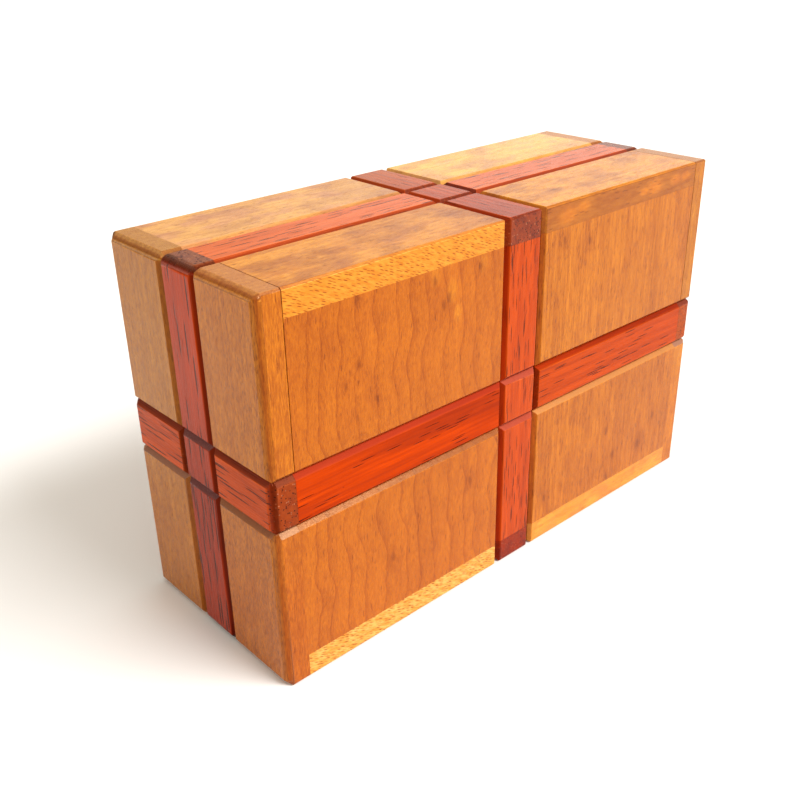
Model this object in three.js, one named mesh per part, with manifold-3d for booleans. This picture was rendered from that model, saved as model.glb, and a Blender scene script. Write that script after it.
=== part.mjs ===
// A wooden puzzle box: two cherry halves that slide off a hidden tray, left and right of a padauk
// hoop. Padauk bands cross on every side, with a V-groove along each edge of each band.
// Millimetres, +X along the box, front towards -Y, +Z up, origin under the middle of the base.

import * as THREE from 'three';
import { mergeVertices } from 'three/addons/utils/BufferGeometryUtils.js';
import Module from 'manifold-3d';

const wasm = await Module();
wasm.setup();

// The outside
const boxLength = 152.4;
const boxWidth = 57.15;
const boxHeight = 95.25;
const boardThickness = 6.35;
const bandWidth = 12.7;
const grooveDepth = 1.15;
const endChamfer = 1.7;
const edgeEase = 0.5;

// The tray that the hoop is glued round
const trayWall = 4;
const trayFloorThickness = 4;
const endBlockThickness = 9.5;
const sleeveGap = 0.3; // between the tray and the halves that slide over it
const partingGap = 0.2; // between a half and the hoop

// The key: the front upper end board of each half, which slides up
const keyTravel = 10;
const keyGap = 0.2; // between the key and what it slides along
const tongueDepth = 2;
const tongueThickness = 2;
const tongueSetback = 2.6; // from the end of the box to the tongue
const railDepth = 2.4;
const railNeck = 2.4;
const railRoot = 3.6;
const railInset = 6; // from the key's lower end to the lower end of its tongue and rail

// The lock pin in each end of the tray
const pinDiameter = 4;
const pinLength = 16;
const pinTravel = 4;
const pinChamfer = 0.4;
const pinGap = 0.2; // round the pin and past its ends
const pinRise = 5; // from the end arm's upper side to the pin's axis
const pinSetback = 4.75; // from the outer face of the end block to the pin's axis
const waistDiameter = 2.6;
const waistLength = 3;
const waistPlace = 10.5; // from the pin's front tip to the middle of its waist
const windowHeight = 4.6;

// Cutting shapes
const overrun = 2; // how far they pass a surface
const roundSides = 32;

// Half sizes, measured from the centre of the box
const halfLength = boxLength / 2;
const halfWidth = boxWidth / 2;
const halfHeight = boxHeight / 2;
const halfBand = bandWidth / 2;
const insideLength = halfLength - boardThickness;
const insideWidth = halfWidth - boardThickness;
const insideHeight = halfHeight - boardThickness;
const halfStart = halfBand + partingGap;
const halfSizes = [halfLength, halfWidth, halfHeight];

const trayHalfLength = insideLength - sleeveGap;
const trayHalfWidth = insideWidth - sleeveGap;
const trayHalfHeight = insideHeight - sleeveGap;
const trayInsideLength = trayHalfLength - endBlockThickness;
const trayInsideWidth = trayHalfWidth - trayWall;
const trayFloorTop = trayFloorThickness - trayHalfHeight;

// Where the tongue, the rail and the pin lie, with the box's centre as zero
const railLow = halfBand + railInset;
const railHigh = insideHeight - keyTravel - keyGap;
const pinHeight = halfBand + pinRise;
const pinFront = pinGap - trayHalfWidth;
const pinBack = pinFront + pinLength;

// Signs of the ends, the long faces and the levels
const sides = { left: -1, right: 1 };
const faces = { front: -1, back: 1 };
const levels = { lower: -1, upper: 1 };

const cherry = new THREE.MeshStandardMaterial({ color: 0xd99457, roughness: 0.5, metalness: 0 });
const padauk = new THREE.MeshStandardMaterial({ color: 0xbf4c2c, roughness: 0.48, metalness: 0 });
const maple = new THREE.MeshStandardMaterial({ color: 0xdcc39a, roughness: 0.6, metalness: 0 });
const brass = new THREE.MeshStandardMaterial({ color: 0xc9a24b, roughness: 0.35, metalness: 1 });

// The limits of a stretch on one side of the centre, and of one that crosses it
function reach(sign, near, far) {
  return sign < 0 ? [-far, -near] : [near, far];
}

function across(half) {
  return [-half, half];
}

function solidFrom(geometry) {
  geometry.deleteAttribute('normal');
  geometry.deleteAttribute('uv');
  const merged = mergeVertices(geometry);
  const mesh = new wasm.Mesh({
    numProp: 3,
    vertProperties: new Float32Array(merged.attributes.position.array),
    triVerts: new Uint32Array(merged.index.array),
  });
  return new wasm.Manifold(mesh);
}

function block(x, y, z) {
  const geometry = new THREE.BoxGeometry(x[1] - x[0], y[1] - y[0], z[1] - z[0]);
  geometry.translate((x[0] + x[1]) / 2, (y[0] + y[1]) / 2, (z[0] + z[1]) / 2);
  return solidFrom(geometry);
}

// A prism along axis 0, 1 or 2, for X, Y or Z. The two coordinates of its outline run along the
// next two axes in the order X, Y, Z, X, Y.
const directions = [
  new THREE.Vector3(1, 0, 0),
  new THREE.Vector3(0, 1, 0),
  new THREE.Vector3(0, 0, 1),
];

function prism(axis, outline, limits) {
  const shape = new THREE.Shape(outline.map(([u, v]) => new THREE.Vector2(u, v)));
  const geometry = new THREE.ExtrudeGeometry(shape, {
    depth: limits[1] - limits[0],
    bevelEnabled: false,
  });
  geometry.translate(0, 0, limits[0]);
  const turn = new THREE.Matrix4();
  turn.makeBasis(directions[(axis + 1) % 3], directions[(axis + 2) % 3], directions[axis]);
  geometry.applyMatrix4(turn);
  return solidFrom(geometry);
}

// The cuts in the outside of the finished box: a V-groove over each joint between a band and its
// neighbours, a chamfer round each end, and the eased long edges
function grooveCut(axis, surfaceAxis, surfaceSign, place) {
  const surface = surfaceSign * halfSizes[surfaceAxis];
  const mouth = surface + surfaceSign * overrun;
  const reachOut = grooveDepth + overrun;
  const outline = [
    [place - reachOut, mouth],
    [place + reachOut, mouth],
    [place, surface - surfaceSign * grooveDepth],
  ];
  const surfaceFirst = (axis + 1) % 3 === surfaceAxis;
  const ordered = surfaceFirst ? outline.map(([u, v]) => [v, u]) : outline;
  return prism(axis, ordered, across(halfSizes[axis] + overrun));
}

function edgeCut(axis, signU, signV, leg) {
  const u = signU * halfSizes[(axis + 1) % 3];
  const v = signV * halfSizes[(axis + 2) % 3];
  const outline = [
    [u + signU * overrun, v + signV * overrun],
    [u + signU * overrun, v - signV * (leg + overrun)],
    [u - signU * (leg + overrun), v + signV * overrun],
  ];
  return prism(axis, outline, across(halfSizes[axis] + overrun));
}

function outsideCuts() {
  const cuts = [];
  for (const axis of [0, 1, 2]) {
    const leg = axis === 0 ? edgeEase : endChamfer;
    for (const first of [-1, 1]) {
      for (const second of [-1, 1]) {
        cuts.push(edgeCut(axis, first, second, leg));
        cuts.push(grooveCut(axis, (axis + 1) % 3, first, second * halfBand));
        cuts.push(grooveCut(axis, (axis + 2) % 3, first, second * halfBand));
      }
    }
  }
  return wasm.Manifold.union(cuts);
}

const outside = outsideCuts();

// A board or strip that shows on the outside
function outerBlock(x, y, z) {
  return block(x, y, z).subtract(outside);
}

// The key's tongue runs in a channel in the end strip, and its dovetail rail in a slot in the
// end of the face board. With a gap, each shape is the space that the other piece leaves for it.
function tongue(side, gap, z) {
  const outer = halfLength - tongueSetback;
  const x = reach(side, outer - tongueThickness - gap, outer + gap);
  const y = reach(faces.front, halfBand - tongueDepth - gap, halfBand + tongueDepth);
  return block(x, y, z);
}

function rail(side, gap, z) {
  const mouth = side * (insideLength + keyGap);
  const place = faces.front * (halfWidth - boardThickness / 2);
  const root = mouth - side * (railDepth + gap);
  const shank = mouth + side * railDepth;
  const neck = railNeck / 2 + gap;
  const foot = railRoot / 2 + gap;
  const outline = [
    [shank, place - neck],
    [mouth, place - neck],
    [root, place - foot],
    [root, place + foot],
    [mouth, place + neck],
    [shank, place + neck],
  ];
  return prism(2, outline, z);
}

function key(side) {
  const x = reach(side, insideLength + keyGap, halfLength);
  const y = reach(faces.front, halfBand + keyGap, halfWidth);
  const run = [railLow, railHigh];
  return outerBlock(x, y, [halfBand, halfHeight])
    .add(tongue(side, 0, run))
    .add(rail(side, 0, run));
}

// The lock pin's bore, or the socket for its tip, on the pin's axis
function pinHole(side, y) {
  const diameter = pinDiameter + 2 * pinGap;
  const radius = diameter / 2;
  const geometry = new THREE.CylinderGeometry(radius, radius, y[1] - y[0], roundSides);
  geometry.translate(pinX(side), (y[0] + y[1]) / 2, pinHeight);
  return solidFrom(geometry);
}

function pinX(side) {
  return side * (trayHalfLength - pinSetback);
}

function pinShape() {
  const radius = pinDiameter / 2;
  const waist = waistDiameter / 2;
  const slope = radius - waist;
  const waistStart = waistPlace - waistLength / 2;
  const waistEnd = waistPlace + waistLength / 2;
  const profile = [
    [0, 0],
    [radius - pinChamfer, 0],
    [radius, pinChamfer],
    [radius, waistStart - slope],
    [waist, waistStart],
    [waist, waistEnd],
    [radius, waistEnd + slope],
    [radius, pinLength - pinChamfer],
    [radius - pinChamfer, pinLength],
    [0, pinLength],
  ];
  const points = profile.map(([r, along]) => new THREE.Vector2(r, along));
  return new THREE.LatheGeometry(points, roundSides);
}

// Boards and arms of a half
function flatBoard(side, face, level) {
  const x = reach(side, halfStart, insideLength);
  return outerBlock(x, reach(face, halfBand, halfWidth), reach(level, insideHeight, halfHeight));
}

function faceBoard(side, face, level) {
  const x = reach(side, halfStart, insideLength);
  return outerBlock(x, reach(face, insideWidth, halfWidth), reach(level, halfBand, insideHeight));
}

function keyedFaceBoard(side) {
  const slot = rail(side, keyGap, [railLow - keyGap, insideHeight + overrun]);
  const socketEnd = pinFront - pinTravel - pinGap;
  const socket = pinHole(side, [socketEnd, overrun - insideWidth]);
  return faceBoard(side, faces.front, levels.upper).subtract(slot).subtract(socket);
}

function endBoard(side, face, level) {
  const x = reach(side, insideLength, halfLength);
  return outerBlock(x, reach(face, halfBand, halfWidth), reach(level, halfBand, halfHeight));
}

function flatArm(side, level) {
  const x = reach(side, halfStart, insideLength);
  return outerBlock(x, across(halfBand), reach(level, insideHeight, halfHeight));
}

function faceArm(side, face) {
  const x = reach(side, halfStart, insideLength);
  return outerBlock(x, reach(face, insideWidth, halfWidth), across(halfBand));
}

function endArm(side, face) {
  const x = reach(side, insideLength, halfLength);
  return outerBlock(x, reach(face, halfBand, halfWidth), across(halfBand));
}

function endStrip(side) {
  const channel = tongue(side, keyGap, [railLow - keyGap, insideHeight]);
  const x = reach(side, insideLength, halfLength);
  return outerBlock(x, across(halfBand), across(halfHeight)).subtract(channel);
}

// The hoop, whose strips are deeper than the boards by the sliding gap, so that they meet the tray
function hoopFlat(level) {
  return outerBlock(across(halfBand), across(halfWidth), reach(level, trayHalfHeight, halfHeight));
}

function hoopUpright(face) {
  return outerBlock(across(halfBand), reach(face, trayHalfWidth, halfWidth), across(trayHalfHeight));
}

// The tray
function trayFloor() {
  return block(across(trayHalfLength), across(trayHalfWidth), [-trayHalfHeight, trayFloorTop]);
}

function trayFace(face) {
  const y = reach(face, trayInsideWidth, trayHalfWidth);
  return block(across(trayHalfLength), y, [trayFloorTop, trayHalfHeight]);
}

function trayBore(side) {
  return pinHole(side, [-trayHalfWidth - overrun, pinBack + pinGap]);
}

function trayEnd(side) {
  const x = reach(side, trayInsideLength, trayHalfLength);
  const end = block(x, across(trayInsideWidth), [trayFloorTop, trayHalfHeight]);
  const waistY = pinFront + waistPlace;
  const windowX = reach(side, trayHalfLength - pinSetback, trayHalfLength + overrun);
  const windowY = [waistY - pinTravel - waistLength / 2, waistY + waistLength / 2];
  const windowZ = [pinHeight - windowHeight / 2, pinHeight + windowHeight / 2];
  return end.subtract(trayBore(side)).subtract(block(windowX, windowY, windowZ));
}

// The assembly: each piece is cut where it lies, in a frame with the box's centre as its origin
function geometryFrom(solid) {
  const mesh = solid.getMesh();
  const geometry = new THREE.BufferGeometry();
  geometry.setAttribute('position', new THREE.BufferAttribute(mesh.vertProperties, mesh.numProp));
  geometry.setIndex(new THREE.BufferAttribute(mesh.triVerts, 1));
  geometry.computeVertexNormals();
  return geometry;
}

function place(group, name, solid, material) {
  const mesh = new THREE.Mesh(geometryFrom(solid), material);
  mesh.name = name;
  group.add(mesh);
}

function makeTray() {
  const tray = new THREE.Group();
  place(tray, 'hoop_top_strip', hoopFlat(levels.upper), padauk);
  place(tray, 'hoop_bottom_strip', hoopFlat(levels.lower), padauk);
  place(tray, 'hoop_front_strip', hoopUpright(faces.front), padauk);
  place(tray, 'hoop_back_strip', hoopUpright(faces.back), padauk);
  place(tray, 'tray_floor', trayFloor(), maple);
  const bores = trayBore(sides.left).add(trayBore(sides.right));
  place(tray, 'tray_front_wall', trayFace(faces.front).subtract(bores), maple);
  place(tray, 'tray_back_wall', trayFace(faces.back), maple);
  for (const [sideName, side] of Object.entries(sides)) {
    place(tray, `tray_${sideName}_end_block`, trayEnd(side), maple);
    tray.add(makePin(sideName, side));
  }
  return tray;
}

function makePin(sideName, side) {
  const pin = new THREE.Mesh(pinShape(), brass);
  pin.name = `${sideName}_lock_pin`;
  pin.position.set(pinX(side), pinFront, pinHeight);
  return pin;
}

function makeHalf(sideName, side) {
  const half = new THREE.Group();
  for (const [faceName, face] of Object.entries(faces)) {
    for (const [levelName, level] of Object.entries(levels)) {
      const corner = `${sideName}_${faceName}_${levelName}`;
      const keyed = face === faces.front && level === levels.upper;
      const flatName = level === levels.upper ? 'top' : 'bottom';
      place(half, `${corner}_${flatName}_board`, flatBoard(side, face, level), cherry);
      if (keyed) {
        place(half, `${corner}_face_board`, keyedFaceBoard(side), cherry);
        place(half, `${sideName}_key_board`, key(side), cherry);
      } else {
        place(half, `${corner}_face_board`, faceBoard(side, face, level), cherry);
        place(half, `${corner}_end_board`, endBoard(side, face, level), cherry);
      }
    }
    place(half, `${sideName}_${faceName}_arm`, faceArm(side, face), padauk);
    place(half, `${sideName}_end_${faceName}_arm`, endArm(side, face), padauk);
  }
  place(half, `${sideName}_top_arm`, flatArm(side, levels.upper), padauk);
  place(half, `${sideName}_bottom_arm`, flatArm(side, levels.lower), padauk);
  place(half, `${sideName}_end_strip`, endStrip(side), padauk);
  return half;
}

const box = new THREE.Group();
box.add(makeTray());
for (const [sideName, side] of Object.entries(sides)) {
  box.add(makeHalf(sideName, side));
}
box.position.z = halfHeight;

export default box;
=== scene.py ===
# A wooden puzzle box: cherry boards crossed by padauk bands, oiled and rubbed to a satin finish
import math

import bpy
from mathutils import Matrix, Vector


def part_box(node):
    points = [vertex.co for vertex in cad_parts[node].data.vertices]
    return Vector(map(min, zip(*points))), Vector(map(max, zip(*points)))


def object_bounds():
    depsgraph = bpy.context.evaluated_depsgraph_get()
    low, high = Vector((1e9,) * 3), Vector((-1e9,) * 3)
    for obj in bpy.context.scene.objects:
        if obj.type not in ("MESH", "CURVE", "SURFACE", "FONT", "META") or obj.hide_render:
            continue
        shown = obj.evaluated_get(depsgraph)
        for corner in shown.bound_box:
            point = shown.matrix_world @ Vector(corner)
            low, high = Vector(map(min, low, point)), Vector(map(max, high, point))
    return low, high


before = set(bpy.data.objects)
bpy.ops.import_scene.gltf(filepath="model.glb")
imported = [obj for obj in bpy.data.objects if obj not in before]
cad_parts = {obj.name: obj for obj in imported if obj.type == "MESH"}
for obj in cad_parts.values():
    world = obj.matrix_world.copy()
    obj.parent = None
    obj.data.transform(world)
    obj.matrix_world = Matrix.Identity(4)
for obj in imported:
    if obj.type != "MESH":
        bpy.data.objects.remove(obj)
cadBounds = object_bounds()
print("frame loaded:", len(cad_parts), "nodes")

mm = 0.001
inMm = (1 / mm, 1 / mm, 1 / mm)
boxSize = cadBounds[1] - cadBounds[0]
boxCentre = (cadBounds[0] + cadBounds[1]) / 2


# Camera: matched to the photograph, in the box's own frame
camera = {
    "azimuth": -41.778,
    "elevation": 26.661,
    "roll": -1.159,
    "place": (-169.70, -173.31, 158.75),  # mm
    "focalPixels": 980.08,
    "pictureWidth": 800,
    "sensor": 36,
    "nearest": 0.01,  # m
}


def makeCamera():
    data = bpy.data.cameras.new("camera")
    data.sensor_width = camera["sensor"]
    data.lens = camera["focalPixels"] / camera["pictureWidth"] * camera["sensor"]
    data.clip_start = camera["nearest"]
    data.dof.use_dof = False
    thing = bpy.data.objects.new("camera", data)
    bpy.context.collection.objects.link(thing)
    around, up = math.radians(camera["azimuth"]), math.radians(camera["elevation"])
    back = Vector((math.sin(around) * math.cos(up), -math.cos(around) * math.cos(up), math.sin(up)))
    right = Vector((math.cos(around), math.sin(around), 0))
    upward = back.cross(right)
    turn = Matrix((right, upward, back)).transposed()
    roll = Matrix.Rotation(math.radians(camera["roll"]), 3, "Z")
    thing.matrix_world = Matrix.Translation(Vector(camera["place"]) * mm) @ (turn @ roll).to_4x4()
    bpy.context.scene.camera = thing


makeCamera()


# Small helpers for node trees
def addNode(tree, kind, links=None, **settings):
    node = tree.nodes.new(kind)
    for name, value in settings.items():
        setattr(node, name, value)
    for socket, value in (links or {}).items():
        feed(tree, node.inputs[socket], value)
    return node


def feed(tree, socket, value):
    if isinstance(value, bpy.types.NodeSocket):
        tree.links.new(value, socket)
    else:
        socket.default_value = value


def calc(tree, operation, first, second=0.0, third=0.0, clamp=False):
    links = {0: first, 1: second, 2: third}
    return addNode(tree, "ShaderNodeMath", links, operation=operation, use_clamp=clamp).outputs[0]


def product(tree, first, *others):
    for other in others:
        first = calc(tree, "MULTIPLY", first, other)
    return first


# The sum of some parts, each as strong as the value of its name and kind says
def weighted(tree, values, kind, **parts):
    total = 0.0
    for name, part in parts.items():
        total = calc(tree, "MULTIPLY_ADD", part, values[name + kind], total)
    return total


def vectorCalc(tree, operation, first, second=(0, 0, 0)):
    node = addNode(tree, "ShaderNodeVectorMath", {0: first, 1: second}, operation=operation)
    return node.outputs["Value" if operation in ("LENGTH", "DOT_PRODUCT") else "Vector"]


def scaleBy(tree, vector, scales):
    return vectorCalc(tree, "MULTIPLY", vector, scales)


def vectorOf(tree, x=0.0, y=0.0, z=0.0):
    return addNode(tree, "ShaderNodeCombineXYZ", {0: x, 1: y, 2: z}).outputs[0]


def partsOf(tree, vector):
    return addNode(tree, "ShaderNodeSeparateXYZ", {0: vector}).outputs


def smallest(tree, parts):
    return calc(tree, "MINIMUM", calc(tree, "MINIMUM", parts[0], parts[1]), parts[2])


def largest(tree, parts):
    return calc(tree, "MAXIMUM", calc(tree, "MAXIMUM", parts[0], parts[1]), parts[2])


# 1 where a surface faces straight along an axis, and less the more it leans between two
def squareness(tree, normal):
    return largest(tree, partsOf(tree, vectorCalc(tree, "ABSOLUTE", normal)))


def remap(tree, value, low, high, newLow=0.0, newHigh=1.0):
    links = {"Value": value, "From Min": low, "From Max": high, "To Min": newLow, "To Max": newHigh}
    node = addNode(tree, "ShaderNodeMapRange", links, interpolation_type="SMOOTHSTEP")
    return node.outputs["Result"]


def noise(tree, place, detail=2.0, roughness=0.5, output="Fac"):
    links = {"Vector": place, "Scale": 1.0, "Detail": detail, "Roughness": roughness}
    return addNode(tree, "ShaderNodeTexNoise", links).outputs[output]


def blendColour(tree, amount, first, second, mode="MIX"):
    settings = {"data_type": "RGBA", "blend_type": mode, "clamp_factor": True}
    links = {0: amount, 6: first, 7: second}
    return addNode(tree, "ShaderNodeMix", links, **settings).outputs[2]


def startGroup(name, vectors, numbers, results, resultKind="Float"):
    tree = bpy.data.node_groups.new(name, "ShaderNodeTree")
    sockets = [(label, "INPUT", "Vector") for label in vectors]
    sockets += [(label, "INPUT", "Float") for label in numbers]
    sockets += [(label, "OUTPUT", resultKind) for label in results]
    for label, way, kind in sockets:
        tree.interface.new_socket(label, in_out=way, socket_type="NodeSocket" + kind)
    return tree, tree.nodes.new("NodeGroupInput").outputs, tree.nodes.new("NodeGroupOutput").inputs


def useGroup(tree, group, links):
    return addNode(tree, "ShaderNodeGroup", links, node_tree=group).outputs


def stretched(tree, place, across, along, seed):
    scaled = scaleBy(tree, place, (1 / across, 1 / across, 1 / along))
    return vectorCalc(tree, "ADD", scaled, vectorOf(tree, seed, product(tree, seed, 1.7)))


def linear(red, green, blue):
    def channel(value):
        share = value / 255
        return share / 12.92 if share <= 0.04045 else ((share + 0.055) / 1.055) ** 2.4
    return (channel(red), channel(green), channel(blue), 1.0)


def shades(light, dark):
    return {"light": linear(*light), "dark": linear(*dark)}


# Growth rings round the heart of the log, which runs along the grain (local Z), in millimetres
growth = {
    "slowSpan": (34, 17),  # across and along the grain
    "quickSpan": (9, 9),
    "quickShare": 0.22,
    "reach": 4.0,  # of a wander of 1
    "raggedSpan": (1.6, 4),
    "ragged": 0.6,
    "unevenStep": 0.37,  # rings
    "uneven": 1.6,
    "lineSharpness": 12.0,
    "ringSharpness": 2.4,
    "faintestLine": 0.6,
}


def makeGrowthLines():
    tree, inputs, outputs = startGroup(
        "growthLines", ["Place", "Heart"], ["Ring Width", "Wander", "Push", "Seed"],
        ["Line", "Ring", "Year"])
    place, seed = inputs["Place"], inputs["Seed"]
    slow = noise(tree, stretched(tree, place, *growth["slowSpan"], seed), 1.0, 0.4, "Color")
    quick = noise(tree, stretched(tree, place, *growth["quickSpan"], seed), 1.0, 0.4, "Color")
    ragged = noise(tree, stretched(tree, place, *growth["raggedSpan"], seed), 2.0)
    slow = vectorCalc(tree, "SUBTRACT", slow, (0.5, 0.5, 0.5))
    quick = vectorCalc(tree, "SUBTRACT", quick, (0.5, 0.5, 0.5))
    quick = scaleBy(tree, quick, (growth["quickShare"],) * 3)
    size = product(tree, inputs["Wander"], growth["reach"])
    shift = scaleBy(tree, vectorCalc(tree, "ADD", slow, quick), vectorOf(tree, size, size))
    fromHeart = vectorCalc(tree, "SUBTRACT", vectorCalc(tree, "ADD", place, shift), inputs["Heart"])
    radius = vectorCalc(tree, "LENGTH", scaleBy(tree, fromHeart, (1, 1, 0)))
    radius = calc(tree, "ADD", radius, inputs["Push"])
    radius = calc(tree, "ADD", radius, product(tree, ragged, growth["ragged"]))
    rings = calc(tree, "DIVIDE", radius, inputs["Ring Width"])
    uneven = vectorOf(tree, product(tree, rings, growth["unevenStep"]), seed)
    rings = calc(tree, "MULTIPLY_ADD", noise(tree, uneven, 1.0), growth["uneven"], rings)
    share = calc(tree, "FRACT", rings)
    year = addNode(tree, "ShaderNodeTexWhiteNoise", {"W": calc(tree, "FLOOR", rings)},
                   noise_dimensions="1D").outputs["Value"]
    line = calc(tree, "POWER", share, growth["lineSharpness"])
    line = product(tree, line, remap(tree, year, 0.0, 1.0, growth["faintestLine"], 1.0))
    tree.links.new(line, outputs["Line"])
    tree.links.new(calc(tree, "POWER", share, growth["ringSharpness"]), outputs["Ring"])
    tree.links.new(year, outputs["Year"])
    return tree


# Fibres that run with the grain: hair-fine, and in broader bundles
strands = {
    "fineSpan": (0.27, 1),  # mm across the grain, and lengths along it
    "fineContrast": (0.33, 0.67),
    "broadSpan": (1.1, 6),
    "broadContrast": (0.34, 0.66),
}


def makeFibre():
    tree, inputs, outputs = startGroup("fibre", ["Place"], ["Length", "Seed"], ["Fine", "Broad"])
    shorter = vectorOf(tree, 1.0, 1.0, calc(tree, "DIVIDE", 1.0, inputs["Length"]))
    place = scaleBy(tree, inputs["Place"], shorter)
    fine = noise(tree, stretched(tree, place, *strands["fineSpan"], inputs["Seed"]), 2.0, 0.65)
    broad = noise(tree, stretched(tree, place, *strands["broadSpan"], inputs["Seed"]), 3.0, 0.65)
    tree.links.new(remap(tree, fine, *strands["fineContrast"]), outputs["Fine"])
    tree.links.new(remap(tree, broad, *strands["broadContrast"]), outputs["Broad"])
    return tree


# Cloudy patches, longer along the grain, and finer wisps
cloudy = {
    "patchContrast": (0.42, 0.66),
    "wispScale": (3.1, 3.1, 2.4),
    "wispContrast": (0.5, 0.72),
}


def makeClouds():
    tree, inputs, outputs = startGroup(
        "clouds", ["Place"], ["Size", "Length", "Seed"], ["Patch", "Wisps"])
    across = calc(tree, "DIVIDE", 1.0, inputs["Size"])
    along = calc(tree, "DIVIDE", across, inputs["Length"])
    scaled = scaleBy(tree, inputs["Place"], vectorOf(tree, across, across, along))
    scaled = vectorCalc(tree, "ADD", scaled, vectorOf(tree, inputs["Seed"], 0.0, inputs["Seed"]))
    patch = noise(tree, scaled, 3.5, 0.55)
    tree.links.new(remap(tree, patch, *cloudy["patchContrast"]), outputs["Patch"])
    wisps = noise(tree, scaleBy(tree, scaled, cloudy["wispScale"]), 3.0, 0.6)
    tree.links.new(remap(tree, wisps, *cloudy["wispContrast"]), outputs["Wisps"])
    return tree


# Short dashes lying with the grain, such as open pores and gum flecks, a few of them pale
dashed = {
    "edge": (0.42, 0.3),
    "paleFrom": 0.9,
}


def makeDashes():
    tree, inputs, outputs = startGroup(
        "dashes", ["Place"], ["Width", "Length", "Share", "Seed"], ["Dash", "Pale"])
    across = calc(tree, "DIVIDE", 1.0, inputs["Width"])
    along = calc(tree, "DIVIDE", 1.0, inputs["Length"])
    cell = scaleBy(tree, inputs["Place"], vectorOf(tree, across, across, along))
    cell = vectorCalc(tree, "ADD", cell, vectorOf(tree, inputs["Seed"]))
    cells = addNode(tree, "ShaderNodeTexVoronoi", {"Vector": cell, "Scale": 1.0, "Randomness": 1.0})
    body = remap(tree, cells.outputs["Distance"], *dashed["edge"])
    chance = addNode(tree, "ShaderNodeSeparateColor", {0: cells.outputs["Color"]}).outputs
    kept = calc(tree, "LESS_THAN", chance[0], inputs["Share"])
    pale = calc(tree, "GREATER_THAN", chance[1], dashed["paleFrom"])
    tree.links.new(product(tree, body, kept), outputs["Dash"])
    tree.links.new(product(tree, body, pale), outputs["Pale"])
    return tree


# Ray flecks: little slanting dashes in rows, on the edge of a quarter-sawn board (local Y and Z)
rays = {
    "scatter": 0.8,
    "edge": (1.0, 0.4),
    "faintest": 0.25,
    "groundScale": (0.9, 0.3, 1),
    "groundContrast": (0.35, 0.65),
}


def makeRayFlecks():
    tree, inputs, outputs = startGroup(
        "rayFlecks", ["Place", "Spacing", "Half Size"], ["Slant", "Seed"], ["Fleck", "Ground"])
    parts = partsOf(tree, inputs["Place"])
    lean = calc(tree, "MULTIPLY_ADD", parts[2], inputs["Slant"], parts[1])
    flat = vectorOf(tree, lean, parts[2])
    cell = vectorCalc(tree, "DIVIDE", flat, inputs["Spacing"])
    cell = vectorCalc(tree, "ADD", cell, vectorOf(tree, inputs["Seed"]))
    links = {"Vector": cell, "Scale": 1.0, "Randomness": rays["scatter"]}
    cells = addNode(tree, "ShaderNodeTexVoronoi", links, voronoi_dimensions="2D")
    away = vectorCalc(tree, "SUBTRACT", cell, cells.outputs["Position"])
    widths = vectorCalc(tree, "DIVIDE", inputs["Spacing"], inputs["Half Size"])
    away = scaleBy(tree, away, widths)
    away = vectorCalc(tree, "LENGTH", scaleBy(tree, away, (1, 1, 0)))
    chance = addNode(tree, "ShaderNodeSeparateColor", {0: cells.outputs["Color"]}).outputs
    depth = remap(tree, chance[0], 0.0, 1.0, rays["faintest"], 1.0)
    tree.links.new(product(tree, remap(tree, away, *rays["edge"]), depth), outputs["Fleck"])
    ground = noise(tree, scaleBy(tree, flat, rays["groundScale"]), 3.0, 0.6)
    tree.links.new(remap(tree, ground, *rays["groundContrast"]), outputs["Ground"])
    return tree


# A pin knot: a small dark spot that the growth lines bend round; widths are in knot sizes
pin = {
    "shape": (1, 1, 0.55),
    "ragged": 1.4,
    "raggedScale": (1.3, 1.3, 0.8),
    "edge": (2.1, 0.9),
    "haloEdge": (5.0, 1.4),
    "bendShape": (1, 1, 0.5),
    "bendReach": 5.0,
    "reach": 6,  # mm; a board further off than this has none of it
}


def makePinKnot():
    tree, inputs, outputs = startGroup(
        "pinKnot", ["Place", "Spot"], ["Ragged", "Size", "Bend"], ["Dark", "Halo", "Push"])
    away = vectorCalc(tree, "SUBTRACT", inputs["Place"], inputs["Spot"])
    near = vectorCalc(tree, "LENGTH", scaleBy(tree, away, pin["shape"]))
    near = calc(tree, "DIVIDE", near, inputs["Size"])
    near = calc(tree, "MULTIPLY_ADD", inputs["Ragged"], pin["ragged"], near)
    tree.links.new(remap(tree, near, *pin["edge"]), outputs["Dark"])
    tree.links.new(remap(tree, near, *pin["haloEdge"]), outputs["Halo"])
    wide = vectorCalc(tree, "LENGTH", scaleBy(tree, away, pin["bendShape"]))
    wide = calc(tree, "DIVIDE", wide, product(tree, inputs["Size"], pin["bendReach"]))
    hill = calc(tree, "EXPONENT", product(tree, wide, wide, -1.0))
    tree.links.new(product(tree, hill, inputs["Bend"]), outputs["Push"])
    return tree


# Which way a surface faces in the board's own axes: across its end grain, on its local X side, or
# cut at a slant, by the size of that part of its normal
facings = {
    "endGrain": (0.25, 0.85),
    "side": (0.6, 0.85),
    "cut": (0.99, 0.8),
}


def makeFacing():
    tree, inputs, outputs = startGroup("facing", ["Normal"], [], ["End Grain", "Side", "Cut"])
    parts = [calc(tree, "ABSOLUTE", part) for part in partsOf(tree, inputs["Normal"])]
    tree.links.new(remap(tree, parts[2], *facings["endGrain"]), outputs["End Grain"])
    tree.links.new(remap(tree, parts[0], *facings["side"]), outputs["Side"])
    tree.links.new(remap(tree, largest(tree, parts), *facings["cut"]), outputs["Cut"])
    return tree


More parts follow.
